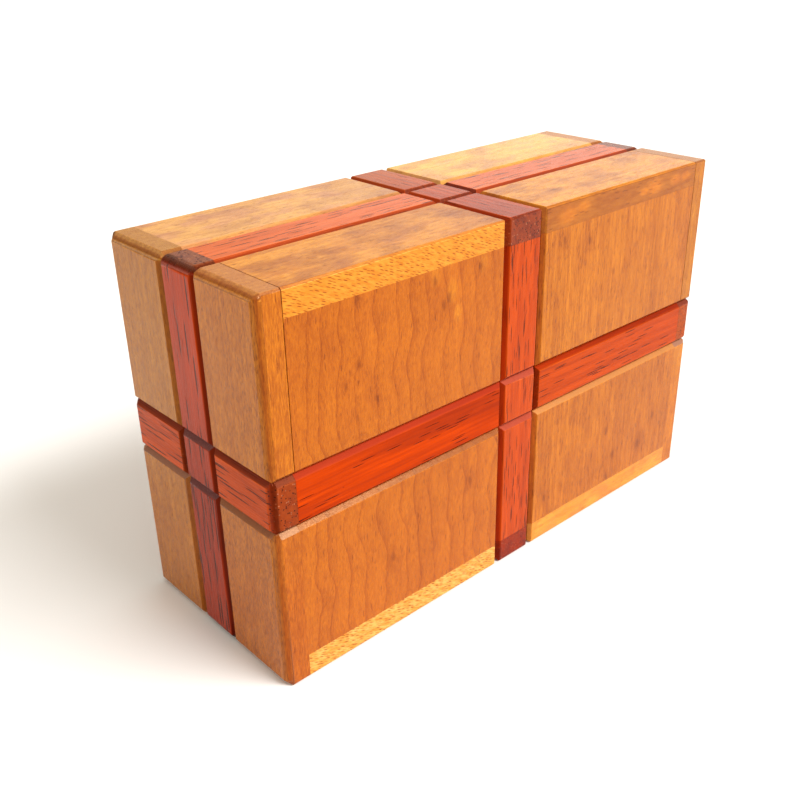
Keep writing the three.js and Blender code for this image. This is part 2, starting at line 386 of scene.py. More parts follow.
# Edges: every arris that shows is rubbed round, the chamfers at the ends the most, and the joints
# between boards stay flush
arris = {
    "width": 0.6,  # mm, at the end chamfers
    "grooveShare": 0.28,
    "outerShare": 0.7,  # the long arrises, where two outside faces meet
    "steps": 4,
    "chamferLeg": 1.7,  # mm, as on the solids
    "chamferReach": 1.05,  # legs; an edge further than this from the end isn't a chamfer's
    "bentAngle": 5,  # degrees; flatter edges are left alone
    "jointAngle": 60,  # edges between faces that meet at more than this are joints
    "outside": 0.02,  # mm; an edge that lies less than this under the outside is on it
    "touching": 0.01,  # mm; points nearer than this are one
    "alike": (0.58, 0.66),  # cosine of the angle between a chamfer's face and the round
    "square": 0.9999,  # a normal whose largest part is more than this faces along an axis
    "flatAngle": 1,  # degrees, under which two faces are made one
}


# Where a point lies from the middle of the box, and how far under its outside
def fromOutside(tree, place):
    fromCentre = vectorCalc(tree, "SUBTRACT", place, boxCentre)
    size = vectorCalc(tree, "ABSOLUTE", fromCentre)
    return fromCentre, vectorCalc(tree, "SUBTRACT", boxSize / 2, size)


# The chamfers at the ends are rubbed into one soft round: their normal turns evenly from the end to
# the side
def makeRounded():
    tree, inputs, outputs = startGroup("rounded", ["Place", "Normal"], [], ["Normal"], "Vector")
    fromCentre, under = fromOutside(tree, inputs["Place"])
    inside = vectorCalc(tree, "SUBTRACT", (arris["chamferLeg"] * mm,) * 3, under)
    inside = vectorCalc(tree, "MAXIMUM", inside, (0, 0, 0))
    turned = scaleBy(tree, inside, vectorCalc(tree, "SIGN", fromCentre))
    turned = vectorCalc(tree, "NORMALIZE", turned)
    least = arris["touching"] * mm
    parts = partsOf(tree, inside)
    atEnd = calc(tree, "GREATER_THAN", parts[0], least)
    atSide = calc(tree, "GREATER_THAN", calc(tree, "MAXIMUM", parts[1], parts[2]), least)
    alike = remap(tree, vectorCalc(tree, "DOT_PRODUCT", turned, inputs["Normal"]), *arris["alike"])
    leaning = calc(tree, "LESS_THAN", squareness(tree, inputs["Normal"]), arris["square"])
    amount = product(tree, atEnd, atSide, alike, leaning)
    kept = calc(tree, "SUBTRACT", 1.0, amount)
    turned = scaleBy(tree, turned, vectorOf(tree, amount, amount, amount))
    straight = scaleBy(tree, inputs["Normal"], vectorOf(tree, kept, kept, kept))
    normal = vectorCalc(tree, "NORMALIZE", vectorCalc(tree, "ADD", turned, straight))
    tree.links.new(normal, outputs["Normal"])
    return tree


# How far a point lies under the outside of the box, for the painted shade in the grooves, how near
# it is to its own board's joints, and whether it is on a face that looks up out of a groove, for
# painted light, or on the band of a rounded arris that gets a painted highlight
seams = {
    "tone": (0.02, 0.4),  # mm under the outside, where the painted shade of a groove starts and where it is full
    "jointWidth": 0.14,  # mm
    # where the painted light on a face that looks up out of a groove goes
    "ledgeBelow": 5.0,  # mm under the top
    "ledgeFrom": (0.3, 0.6),  # how far up the surface faces
    "ledgeTo": (0.95, 0.8),
    # the band of an arris where the painted highlight goes
    "rubbedFrom": (0.9995, 0.99),  # how squarely it faces
    "rubbedTo": (0.9, 0.97),
    "rubbedLow": (0.05, 0.2),  # how far up it faces
    "rubbedHigh": (0.7, 0.5),
}


def makeJoinery():
    tree, inputs, outputs = startGroup(
        "joinery", ["Place", "Normal", "Low", "High"], [], ["Depth", "Joint", "Ledge", "Rubbed"])
    under = partsOf(tree, scaleBy(tree, fromOutside(tree, inputs["Place"])[1], inMm))
    tree.links.new(remap(tree, smallest(tree, under), *seams["tone"]), outputs["Depth"])
    upward = partsOf(tree, inputs["Normal"])[2]
    ledge = product(
        tree, remap(tree, upward, *seams["ledgeFrom"]), remap(tree, upward, *seams["ledgeTo"]),
        calc(tree, "GREATER_THAN", under[2], seams["ledgeBelow"]))
    tree.links.new(ledge, outputs["Ledge"])
    square = squareness(tree, inputs["Normal"])
    rubbed = product(
        tree, remap(tree, square, *seams["rubbedFrom"]), remap(tree, square, *seams["rubbedTo"]),
        remap(tree, upward, *seams["rubbedLow"]), remap(tree, upward, *seams["rubbedHigh"]))
    tree.links.new(rubbed, outputs["Rubbed"])
    low = vectorCalc(tree, "SUBTRACT", inputs["Place"], inputs["Low"])
    high = vectorCalc(tree, "SUBTRACT", inputs["High"], inputs["Place"])
    near = scaleBy(tree, vectorCalc(tree, "MINIMUM", low, high), inMm)
    # the side that the point is on is moved far off, so that only its joints count
    faced = vectorCalc(tree, "ABSOLUTE", inputs["Normal"])
    faced = scaleBy(tree, faced, (100, 100, 100))
    nearest = smallest(tree, partsOf(tree, vectorCalc(tree, "ADD", near, faced)))
    tree.links.new(remap(tree, nearest, seams["jointWidth"], 0.0), outputs["Joint"])
    return tree


growthLines = makeGrowthLines()
fibre = makeFibre()
clouds = makeClouds()
dashes = makeDashes()
rayFlecks = makeRayFlecks()
pinKnot = makePinKnot()
facing = makeFacing()
rounded = makeRounded()
joinery = makeJoinery()
print("wood effects made")


# A plank's own axes: millimetres from its origin, with the grain along local Z
grainTurns = {
    "X": Matrix(((0, 1, 0), (0, 0, 1), (1, 0, 0))),
    "Y": Matrix(((0, 0, 1), (1, 0, 0), (0, 1, 0))),
    "Z": Matrix.Identity(3),
}


def plankAxes(tree, grain, origin):
    coordinates = tree.nodes.new("ShaderNodeTexCoord").outputs
    spot = coordinates["Object"]
    turn = grainTurns[grain]
    place = addNode(tree, "ShaderNodeMapping", {"Vector": spot}, vector_type="POINT")
    place.inputs["Scale"].default_value = inMm
    place.inputs["Rotation"].default_value = turn.to_euler("XYZ")
    place.inputs["Location"].default_value = -(turn @ Vector(origin))
    softNormal = useGroup(tree, rounded, {"Place": spot, "Normal": coordinates["Normal"]})[0]
    normal = addNode(tree, "ShaderNodeMapping", {"Vector": softNormal}, vector_type="VECTOR")
    normal.inputs["Rotation"].default_value = turn.to_euler("XYZ")
    return spot, place.outputs[0], normal.outputs[0], softNormal


def startMaterial(name):
    material = bpy.data.materials.new(name)
    material.use_nodes = True
    tree = material.node_tree
    tree.nodes.clear()
    shader = tree.nodes.new("ShaderNodeBsdfPrincipled")
    output = tree.nodes.new("ShaderNodeOutputMaterial")
    tree.links.new(shader.outputs[0], output.inputs["Surface"])
    return material, tree, shader


def dressShader(tree, shader, colour, rough, height, bump, softNormal=None):
    tree.links.new(colour, shader.inputs["Base Color"])
    tree.links.new(rough, shader.inputs["Roughness"])
    strength, depth = bump
    links = {"Height": height, "Strength": strength, "Distance": depth * mm}
    node = addNode(tree, "ShaderNodeBump", links)
    if softNormal is not None:
        world = addNode(tree, "ShaderNodeVectorTransform", {0: softNormal}, vector_type="NORMAL",
                        convert_from="OBJECT", convert_to="WORLD")
        tree.links.new(world.outputs[0], node.inputs["Normal"])
    tree.links.new(node.outputs[0], shader.inputs["Normal"])


# Darkens or warms a colour by one of a wood's tints, as far as the tint's own Strength goes
def tintBy(tree, colour, amount, values, tint, strength=None):
    if strength is None:
        strength = values.get(tint + "Strength", 1.0)
    return blendColour(tree, product(tree, amount, strength), colour, values[tint], "MULTIPLY")


# What the woods share
def startPlank(name, grain, origin, corners, values):
    material, tree, shader = startMaterial(name)
    shader.inputs["Specular Tint"].default_value = values["gloss"]
    shader.inputs["IOR"].default_value = values["refraction"]
    spot, place, normal, softNormal = plankAxes(tree, grain, origin)
    faces = useGroup(tree, facing, {"Normal": normal})
    joints = useGroup(tree, joinery, {
        "Place": spot, "Normal": softNormal, "Low": corners[0], "High": corners[1],
    })
    return material, tree, shader, place, softNormal, faces, joints


def addFigure(tree, place, values, seed, push=0.0):
    rings = useGroup(tree, growthLines, {
        "Place": place, "Heart": values["heart"], "Ring Width": values["ringWidth"],
        "Wander": values["wander"], "Push": push, "Seed": seed,
    })
    links = {"Place": place, "Length": values["fibreLength"], "Seed": seed}
    return rings, useGroup(tree, fibre, links)


def addClouds(tree, place, size, seed):
    links = {"Place": place, "Size": size[0], "Length": size[1], "Seed": seed}
    return useGroup(tree, clouds, links)


def addDashes(tree, place, size, share, seed):
    links = {"Place": place, "Width": size[0], "Length": size[1], "Share": share, "Seed": seed}
    return useGroup(tree, dashes, links)


# Tints a colour along the grain: painted shade towards the bottom of the end pieces, and a change
# of tone along some top boards and the hoop's top strip
def shadeAndToneAlongGrain(tree, colour, place, values):
    if not values["fade"]:
        return colour
    along = remap(tree, partsOf(tree, place)[2], *values["fadeSpan"])
    return tintBy(tree, colour, along, values, "fade")


def toneEdges(tree, colour, faces, joints, values):
    # painted shade on the faces cut at a slant, the chamfers
    colour = tintBy(tree, colour, faces["Cut"], values, "chamfer")
    # painted shade: the deeper a point lies in a groove, the darker it is made
    colour = tintBy(tree, colour, joints["Depth"], values, "groove")
    # painted light: faces that look up out of a groove are blended toward a greyer colour, for the
    # sky light and reflection they catch
    ledge = product(tree, joints["Ledge"], values["ledgeStrength"])
    colour = blendColour(tree, ledge, colour, values["ledge"])
    # painted highlight along the band of each rounded arris that faces a little upward
    colour = tintBy(tree, colour, joints["Rubbed"], values, "rubbed")
    return tintBy(tree, colour, joints["Joint"], values, "joint")


# Cherry
cherry = {
    **shades((192, 104, 18), (160, 74, 8)),
    "line": (0.66, 0.48, 0.4, 1),
    "pore": (0.45, 0.3, 0.25, 1),
    "mottle": (0.86, 0.78, 1.25, 1),
    "cloud": (0.7, 0.58, 0.64, 1),
    "endGrain": (0.82, 0.84, 1.3, 1),
    "endGrainStrength": 0.85,
    # painted shade on the chamfers
    "chamfer": (0.88, 0.82, 0.8, 1),
    # painted shade in the grooves
    "groove": (0.87, 0.8, 0.74, 1),
    "grooveStrength": 0.8,
    # painted highlight on the arrises
    "rubbed": (1.55, 2.0, 5.0, 1),
    "joint": (0.5, 0.36, 0.3, 1),
    "jointStrength": 0.6,
    # painted light and reflection on the faces that look up out of a groove
    "ledge": linear(150, 108, 92),
    "ledgeStrength": 0.0,
    "fade": None,
    "fadeSpan": (5.0, -30.0),  # mm along the grain, where the tint starts and where it is full
    "calm": (1.0, 1.0),  # how busy the figure is on the board's local X sides, and elsewhere
    "gloss": (1.0, 0.6, 0.3, 1),
    "refraction": 1.42,
    "roughness": (0.24, 0.38),
    "bump": (0.3, 0.08),  # strength, and depth in mm
    "poreRelief": -0.6,
    "tickRelief": -0.3,
    "fibreRelief": 0.3,
    "ringShare": 0.16,
    "broadShare": 0.3,
    "fineShare": 0.45,
    "yearShare": 0.14,
    "fibreLength": 2.4,
    "ringWidth": 2.6,
    "wander": 0.8,
    "lineStrength": 0.5,
    "mottleSize": (4.5, 1.8),  # mm across the grain, and how many times as long
    "mottleStrength": 0.45,
    "cloudSize": (8.0, 1.8),
    "cloudStrength": 0.25,
    "cloudShift": 0.0,
    "wispShare": 0.45,
    "tickSize": (0.26, 1.4),  # mm across and along the grain
    "tickShare": 0.35,
    "tickStrength": 0.5,
    "poreSize": (0.42, 2.6),
    "poreShare": 0.05,
    "poreDrift": 0.0,
    "poreStrength": 0.6,
    "fleckStrength": 0.0,
    "fleckSpacing": (0.66, 1.5, 1),
    "fleckHalf": (0.18, 0.8, 1),
    "fleckSlant": 0.42,
    "fleck": (0.46, 0.28, 0.14, 1),
    "fleckLight": linear(209, 135, 42),
    "fleckDark": linear(199, 117, 28),
    "side": (1, 1, 1, 1),
    "heart": (44, 38, 0),
    "knots": (),
    "knotStrength": 0.6,
    "haloStrength": 0.3,
    "glints": (),  # pale blotches, given as knots are
    "glint": (1.25, 1.6, 2.0, 1),
    "glintStrength": 0.8,
}


def addKnots(tree, knots, place, grain, origin, corners):
    low, high = corners
    ragged = noise(tree, scaleBy(tree, place, pin["raggedScale"]), 3.0)
    push, dark, halo = 0.0, 0.0, 0.0
    for spot, size, bend in knots:
        outside = [max(low[n] - spot[n] * mm, spot[n] * mm - high[n]) for n in range(3)]
        if max(outside) > pin["reach"] * mm:
            continue
        local = grainTurns[grain] @ (Vector(spot) - origin)
        knot = useGroup(tree, pinKnot, {
            "Place": place, "Spot": local, "Ragged": ragged, "Size": size, "Bend": bend,
        })
        push = calc(tree, "ADD", knot["Push"], push)
        dark = calc(tree, "MAXIMUM", knot["Dark"], dark)
        halo = calc(tree, "MAXIMUM", knot["Halo"], halo)
    return push, dark, halo


def addFlecks(tree, colour, place, faces, seed, values):
    flecks = useGroup(tree, rayFlecks, {
        "Place": place, "Spacing": values["fleckSpacing"], "Half Size": values["fleckHalf"],
        "Slant": values["fleckSlant"], "Seed": seed,
    })
    ground = blendColour(tree, flecks["Ground"], values["fleckLight"], values["fleckDark"])
    ground = tintBy(tree, ground, flecks["Fleck"], values, "fleck")
    return blendColour(tree, faces["Side"], colour, ground)


def cherryMaterial(name, grain, origin, corners, seed, look):
    values = {**cherry, **look}
    material, tree, shader, place, softNormal, faces, joints = startPlank(
        name, grain, origin, corners, values)
    push, dark, halo = addKnots(tree, values["knots"], place, grain, origin, corners)
    rings, fibres = addFigure(tree, place, values, seed, push)
    shifted = vectorCalc(tree, "ADD", place, (0, 0, values["cloudShift"]))
    cloud = addClouds(tree, shifted, values["cloudSize"], seed)
    mottle = addClouds(tree, place, values["mottleSize"], seed + 5)
    ticks = addDashes(tree, place, values["tickSize"], values["tickShare"], seed)
    share = calc(tree, "MULTIPLY_ADD", mottle["Patch"], values["poreDrift"], values["poreShare"])
    pores = addDashes(tree, place, values["poreSize"], share, seed + 3)
    onSide, offSide = values["calm"]
    busy = calc(tree, "MULTIPLY_ADD", faces["Side"], onSide - offSide, offSide)
    tone = weighted(
        tree, values, "Share", ring=rings["Ring"], broad=fibres["Broad"], fine=fibres["Fine"],
        year=rings["Year"])
    colour = blendColour(tree, tone, values["light"], values["dark"])
    colour = tintBy(tree, colour, mottle["Patch"], values, "mottle")
    patches = calc(tree, "MULTIPLY_ADD", cloud["Wisps"], values["wispShare"], cloud["Patch"])
    patches = product(tree, patches, busy)
    colour = tintBy(tree, colour, patches, values, "cloud")
    colour = tintBy(tree, colour, rings["Line"], values, "line")
    tick = product(tree, ticks["Dash"], busy)
    colour = tintBy(tree, colour, tick, values, "pore", values["tickStrength"])
    colour = tintBy(tree, colour, pores["Dash"], values, "pore")
    colour = tintBy(tree, colour, faces["Side"], values, "side")
    colour = shadeAndToneAlongGrain(tree, colour, place, values)
    if values["fleckStrength"]:
        colour = addFlecks(tree, colour, place, faces, seed, values)
    if values["glints"]:
        glow = addKnots(tree, values["glints"], place, grain, origin, corners)[2]
        colour = tintBy(tree, colour, glow, values, "glint")
    if values["knots"]:
        colour = tintBy(tree, colour, halo, values, "line", values["haloStrength"])
        colour = tintBy(tree, colour, dark, values, "pore", values["knotStrength"])
    colour = tintBy(tree, colour, faces["End Grain"], values, "endGrain")
    colour = toneEdges(tree, colour, faces, joints, values)
    sheen = calc(tree, "ADD", mottle["Wisps"], fibres["Fine"])
    rough = remap(tree, sheen, 0.0, 2.0, *values["roughness"])
    relief = weighted(tree, values, "Relief", pore=pores["Dash"], tick=tick, fibre=fibres["Fine"])
    dressShader(tree, shader, colour, rough, relief, values["bump"], softNormal)
    return material


# Padauk
padauk = {
    **shades((192, 52, 1), (162, 40, 2)),
    "band": linear(104, 27, 12),
    "pore": linear(46, 6, 3),
    "endGrain": (0.52, 0.58, 2.2, 1),
    "speck": linear(190, 118, 84),
    "speckStrength": 0.5,
    # painted shade on the chamfers
    "chamfer": (0.86, 0.76, 0.66, 1),
    # painted shade in the grooves
    "groove": (0.76, 0.52, 0.42, 1),
    "grooveStrength": 1.0,
    # painted highlight on the arrises
    "rubbed": (1.3, 1.8, 3.2, 1),
    "joint": (0.5, 0.36, 0.3, 1),
    "jointStrength": 0.5,
    # painted light and reflection on the faces that look up out of a groove
    "ledge": linear(130, 75, 62),
    "ledgeStrength": 0.0,
    "fade": None,
    "fadeSpan": (5.0, -30.0),
    "gloss": (1.0, 0.25, 0.05, 1),
    "refraction": 1.3,
    "roughness": (0.24, 0.38),
    "bump": (0.4, 0.1),
    "poreRelief": -1.0,
    "fibreRelief": 0.25,
    "ringShare": 0.25,
    "broadShare": 0.4,
    "fineShare": 0.35,
    "fibreLength": 9.0,
    "ringWidth": 2.1,
    "wander": 0.8,
    "heart": (30, 46, 0),
    "bandSize": (2.8, 18.0),
    "bandShare": 0.8,
    "bandStrength": 0.6,
    "streakSize": (0.8, 26.0),
    "streakShare": 0.25,
    "highShare": 0.0,
    "highSpan": (-2.5, 2.5),
    "poreStrength": 0.95,
    "poreWear": 0.6,
    "poreSize": (0.3, 6.5),
    "poreShare": 0.08,
    "poreDrift": 0.22,
}


def padaukMaterial(name, grain, origin, corners, seed, look):
    values = {**padauk, **look}
    material, tree, shader, place, softNormal, faces, joints = startPlank(
        name, grain, origin, corners, values)
    rings, fibres = addFigure(tree, place, values, seed)
    bands = addClouds(tree, place, values["bandSize"], seed)
    streaks = addClouds(tree, place, values["streakSize"], seed + 4)
    share = calc(tree, "MULTIPLY_ADD", bands["Patch"], values["poreDrift"], values["poreShare"])
    pores = addDashes(tree, place, values["poreSize"], share, seed)
    tone = weighted(
        tree, values, "Share", ring=rings["Ring"], broad=fibres["Broad"], fine=fibres["Fine"])
    colour = blendColour(tree, tone, values["light"], values["dark"])
    high = remap(tree, partsOf(tree, place)[1], *values["highSpan"])
    dusky = weighted(
        tree, values, "Share", band=bands["Patch"], streak=streaks["Patch"], high=high)
    dusky = product(tree, dusky, values["bandStrength"])
    colour = blendColour(tree, dusky, colour, values["band"])
    colour = shadeAndToneAlongGrain(tree, colour, place, values)
    colour = tintBy(tree, colour, faces["End Grain"], values, "endGrain")
    worn = calc(tree, "MULTIPLY_ADD", faces["Cut"], -values["poreWear"], values["poreStrength"])
    colour = blendColour(tree, product(tree, pores["Dash"], worn), colour, values["pore"])
    specks = product(tree, pores["Pale"], faces["End Grain"], values["speckStrength"])
    colour = blendColour(tree, specks, colour, values["speck"])
    colour = toneEdges(tree, colour, faces, joints, values)
    sheen = calc(tree, "ADD", streaks["Wisps"], fibres["Fine"])
    rough = remap(tree, sheen, 0.0, 2.0, *values["roughness"])
    relief = weighted(tree, values, "Relief", pore=pores["Dash"], fibre=fibres["Fine"])
    dressShader(tree, shader, colour, rough, relief, values["bump"], softNormal)
    return material


# Maple, sanded and left bare, for the tray
maple = {
    **shades((232, 204, 160), (206, 166, 116)),
    "line": linear(190, 150, 110),
    "lineStrength": 0.35,
    "pore": linear(160, 120, 84),
    "poreSize": (0.5, 1.6),
    "poreShare": 0.16,
    "poreStrength": 0.35,
    "endGrain": linear(216, 190, 160),
    "endGrainStrength": 0.8,
    "heart": (60, 34, 0),
    "ringWidth": 2.6,
    "wander": 0.6,
    "ringShare": 0.4,
    "fineShare": 0.3,
    "fibreLength": 5.0,
    "roughness": (0.55, 0.7),
    "bump": (0.2, 0.06),
}


def mapleMaterial(name, grain, origin, seed):
    material, tree, shader = startMaterial(name)
    place, normal = plankAxes(tree, grain, origin)[1:3]
    faces = useGroup(tree, facing, {"Normal": normal})
    rings, fibres = addFigure(tree, place, maple, seed)
    pores = addDashes(tree, place, maple["poreSize"], maple["poreShare"], seed)
    tone = weighted(tree, maple, "Share", ring=rings["Ring"], fine=fibres["Fine"])
    colour = blendColour(tree, tone, maple["light"], maple["dark"])
    colour = tintBy(tree, colour, rings["Line"], maple, "line")
    colour = tintBy(tree, colour, pores["Dash"], maple, "pore")
    colour = tintBy(tree, colour, faces["End Grain"], maple, "endGrain")
    rough = remap(tree, fibres["Fine"], 0.0, 1.0, *maple["roughness"])
    dressShader(tree, shader, colour, rough, fibres["Fine"], maple["bump"])
    return material


# Brass, turned on a lathe: fine rings round the pin, along Y
brass = {
    "bright": linear(222, 180, 96),
    "dull": linear(170, 122, 62),
    "tarnishScale": (0.5, 0.5, 0.5),
    "tarnishContrast": (0.4, 0.7),
    "ringScale": (0.05, 0.05, 14),
    "ringContrast": (0.3, 0.7),
    "roughness": (0.22, 0.42),
    "bump": (0.3, 0.04),
}


def brassMaterial():
    material, tree, shader = startMaterial("turned_brass")
    place = plankAxes(tree, "Y", (0, 0, 0))[1]
    rings = noise(tree, scaleBy(tree, place, brass["ringScale"]), 3.0, 0.6)
    tarnish = noise(tree, scaleBy(tree, place, brass["tarnishScale"]), 4.0, 0.6)
    tarnish = remap(tree, tarnish, *brass["tarnishContrast"])
    colour = blendColour(tree, tarnish, brass["bright"], brass["dull"])
    rough = remap(tree, rings, *brass["ringContrast"], *brass["roughness"])
    shader.inputs["Metallic"].default_value = 1.0
    dressShader(tree, shader, colour, rough, rings, brass["bump"])
    return material


# Marks on the mesh: a bevel weight on each edge that is rubbed, and the joints sharp
def makeEdgeMarks():
    tree = bpy.data.node_groups.new("edgeMarks", "GeometryNodeTree")
    tree.interface.new_socket("Geometry", in_out="INPUT", socket_type="NodeSocketGeometry")
    tree.interface.new_socket("Geometry", in_out="OUTPUT", socket_type="NodeSocketGeometry")
    source = tree.nodes.new("NodeGroupInput").outputs[0]
    result = tree.nodes.new("NodeGroupOutput").inputs[0]
    links = {"Geometry": source, "Name": "custom_normal"}
    bare = addNode(tree, "GeometryNodeRemoveAttribute", links)
    angle = tree.nodes.new("GeometryNodeInputMeshEdgeAngle").outputs["Unsigned Angle"]
    joint = calc(tree, "GREATER_THAN", angle, math.radians(arris["jointAngle"]))
    bent = calc(tree, "GREATER_THAN", angle, math.radians(arris["bentAngle"]))
    place = tree.nodes.new("GeometryNodeInputPosition").outputs[0]
    under = partsOf(tree, fromOutside(tree, place)[1])
    reach = arris["chamferLeg"] * arris["chamferReach"] * mm
    atEnd = calc(tree, "LESS_THAN", under[0], reach)
    atSide = calc(tree, "LESS_THAN", calc(tree, "MINIMUM", under[1], under[2]), reach)
    weight = calc(tree, "MAXIMUM", product(tree, atEnd, atSide), arris["grooveShare"])
    weight = product(tree, weight, calc(tree, "SUBTRACT", bent, joint, clamp=True))
    outside = [calc(tree, "LESS_THAN", under[n], arris["outside"] * mm) for n in (1, 2)]
    outer = product(tree, *outside, joint)
    weight = calc(tree, "MAXIMUM", weight, product(tree, outer, arris["outerShare"]))
    joint = calc(tree, "SUBTRACT", joint, outer, clamp=True)
    links = {0: bare.outputs[0], "Shade Smooth": True}
    smooth = addNode(tree, "GeometryNodeSetShadeSmooth", links, domain="FACE")
    links = {0: smooth.outputs[0], "Shade Smooth": calc(tree, "SUBTRACT", 1.0, joint)}
    smooth = addNode(tree, "GeometryNodeSetShadeSmooth", links, domain="EDGE")
    links = {"Geometry": smooth.outputs[0], "Name": "bevel_weight_edge", "Value": weight}
    stored = addNode(
        tree, "GeometryNodeStoreNamedAttribute", links, data_type="FLOAT", domain="EDGE")
    tree.links.new(stored.outputs[0], result)
    return tree


edgeMarks = makeEdgeMarks()


def cleanMesh(node):
    weld = node.modifiers.new("weld", "WELD")
    weld.merge_threshold = arris["touching"] * mm
    flatten = node.modifiers.new("flatten", "DECIMATE")
    flatten.decimate_type = "DISSOLVE"
    flatten.angle_limit = math.radians(arris["flatAngle"])
    flatten.use_dissolve_boundaries = True
    marks = node.modifiers.new("marks", "NODES")
    marks.node_group = edgeMarks


def rubEdges(node):
    bevel = node.modifiers.new("soften", "BEVEL")
    bevel.width = arris["width"] * mm
    bevel.segments = arris["steps"]
    bevel.limit_method = "WEIGHT"
    bevel.harden_normals = True


# The boards: the direction of each one's grain
outerGrain = {
    "top_board": "X", "bottom_board": "X", "face_board": "Z", "end_board": "Z", "key_board": "Z",
    "hoop_top_strip": "Y", "hoop_bottom_strip": "Y", "hoop_front_strip": "Z",
    "hoop_back_strip": "Z", "end_strip": "Z", "end_front_arm": "Y", "end_back_arm": "Y", "arm": "X",
}


def grainOf(name):
    return next(grain for ending, grain in outerGrain.items() if name.endswith(ending))


# The upper and lower boards of a face or an end were cut from one plank, so that its growth lines
# run on below the band
def plankOf(name):
    name = name.replace("_key_board", "_front_end_board")
    return name.replace("_upper", "").replace("_lower", "")


def originOf(name):
    low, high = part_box(name)
    origin = (low + high) / 2
    if name.endswith(("face_board", "end_board", "key_board")):
        origin.z = boxCentre.z
    return origin / mm


# Knots on the front: each one's place along and up the box, its size, and how far the lines bend
def onFront(*knots):
    return [((x, -28.5, z), size, bend) for x, z, size, bend in knots]


flatSawn = {
    "heart": (95, 55, 0), "ringWidth": 4.4, "wander": 1.5, "lineStrength": 0.8,
    "ringShare": 0.22, "broadShare": 0.14, "fineShare": 0.5, "fibreLength": 1.3,
    "tickShare": 0.2, "tickStrength": 0.4, "jointStrength": 0.0,
    **shades((187, 101, 16), (151, 70, 8)),
    "knots": onFront(
        (-51.7, 73.7, 0.8, 1.4), (-55.4, 69.4, 0.5, 0.4), (-51.9, 69.6, 0.3, -1.6),
        (-47.1, 63.9, 0.6, 0.5), (-25.2, 81.3, 0.8, 0.4), (-26.8, 79.8, 0.8, 0.4),
        (-29.5, 86.3, 0.7, 0.3), (-15.1, 86.2, 0.7, 0.3), (-51.5, 88.1, 0.9, 0.4),
        (-43.6, 20.6, 0.7, 0.5), (-17.5, 30.9, 0.7, 0.5),
    ),
    "glints": onFront(
        (-29.4, 87.6, 0.5, 0.0), (-24.2, 82.6, 0.55, 0.0), (-14.2, 87.0, 0.5, 0.0),
        (-22.4, 77.0, 0.4, 0.0),
    ),
}
riftSawn = {
    "heart": (120, 30, 0), "ringWidth": 1.3, "wander": 0.5, "lineStrength": 0.3,
    "poreShare": 0.04, "poreDrift": 0.3, "broadShare": 0.3, "fineShare": 0.6, "fibreLength": 6.0,
    "mottleStrength": 0.6, "groove": (0.88, 0.59, 0.27, 1),
    **shades((198, 117, 24), (156, 79, 10)),
    "knots": onFront(
        (42.6, 14.4, 0.9, 2.2), (38.5, 23.9, 0.8, 1.2), (55.1, 13.2, 0.9, 1.4),
        (61.6, 20.4, 0.8, 1.2), (12.1, 12.6, 0.7, 0.8), (40.6, 7.4, 0.7, 0.6),
        (24.6, 83.4, 0.6, 0.6), (14.6, 85.6, 0.6, 0.6),
    ),
}
endBoards = {
    "heart": (15, 90, 0), "ringWidth": 1.7, "wander": 0.3, "lineStrength": 0.3,
    "fineShare": 0.8, "tickShare": 0.6, "tickStrength": 0.7, "cloudStrength": 0.12,
    "cloudSize": (14.0, 1.8), "mottleStrength": 0.3, "calm": (1.0, 0.35), "jointStrength": 0.0,
    **shades((200, 124, 29), (163, 89, 16)),
    "endGrain": (1.1, 1.4, 4.5, 1), "chamfer": (0.7, 0.58, 0.62, 1),
    # painted shade: darker and less blue towards the bottom
    "ledgeStrength": 0.7, "fade": (1.0, 0.88, 0.64, 1),
}
quarterSawn = {
    "heart": (90, 6, 0), "ringWidth": 1.9, "wander": 0.4, "lineStrength": 0.3,
    "cloudSize": (8.0, 1.5), "cloudStrength": 0.85, "mottleStrength": 0.8,
    "calm": (0.4, 1.0), "cloud": (0.66, 0.56, 0.74, 1), "jointStrength": 0.2,
    **shades((229, 155, 56), (190, 111, 26)),
}
paleTop = {**quarterSawn, "cloudStrength": 0.6}
hoopUprights = {
    **shades((194, 74, 15), (154, 48, 7)), "bandStrength": 0.3, "poreShare": 0.3,
    "groove": (0.72, 0.38, 0.3, 1), "ledge": linear(180, 76, 56), "ledgeStrength": 0.65,
}
topPadauk = {
    "refraction": 1.45, **shades((229, 110, 43), (192, 82, 29)),
    "bandStrength": 0.3, "poreShare": 0.35, "poreSize": (0.46, 8.0),
    "chamfer": (0.52, 0.33, 0.32, 1), "groove": (0.75, 0.68, 0.65, 1),
}
endArms = {
    "refraction": 1.22, **shades((199, 76, 6), (166, 57, 5)),
    "bandStrength": 0.2, "poreShare": 0.4, "poreDrift": 0.1, "poreSize": (0.48, 14.0),
    "endGrain": (0.5, 0.62, 3.4, 1), "ledge": linear(120, 60, 45), "ledgeStrength": 0.5,
    "groove": (0.5, 0.35, 0.3, 1),
}
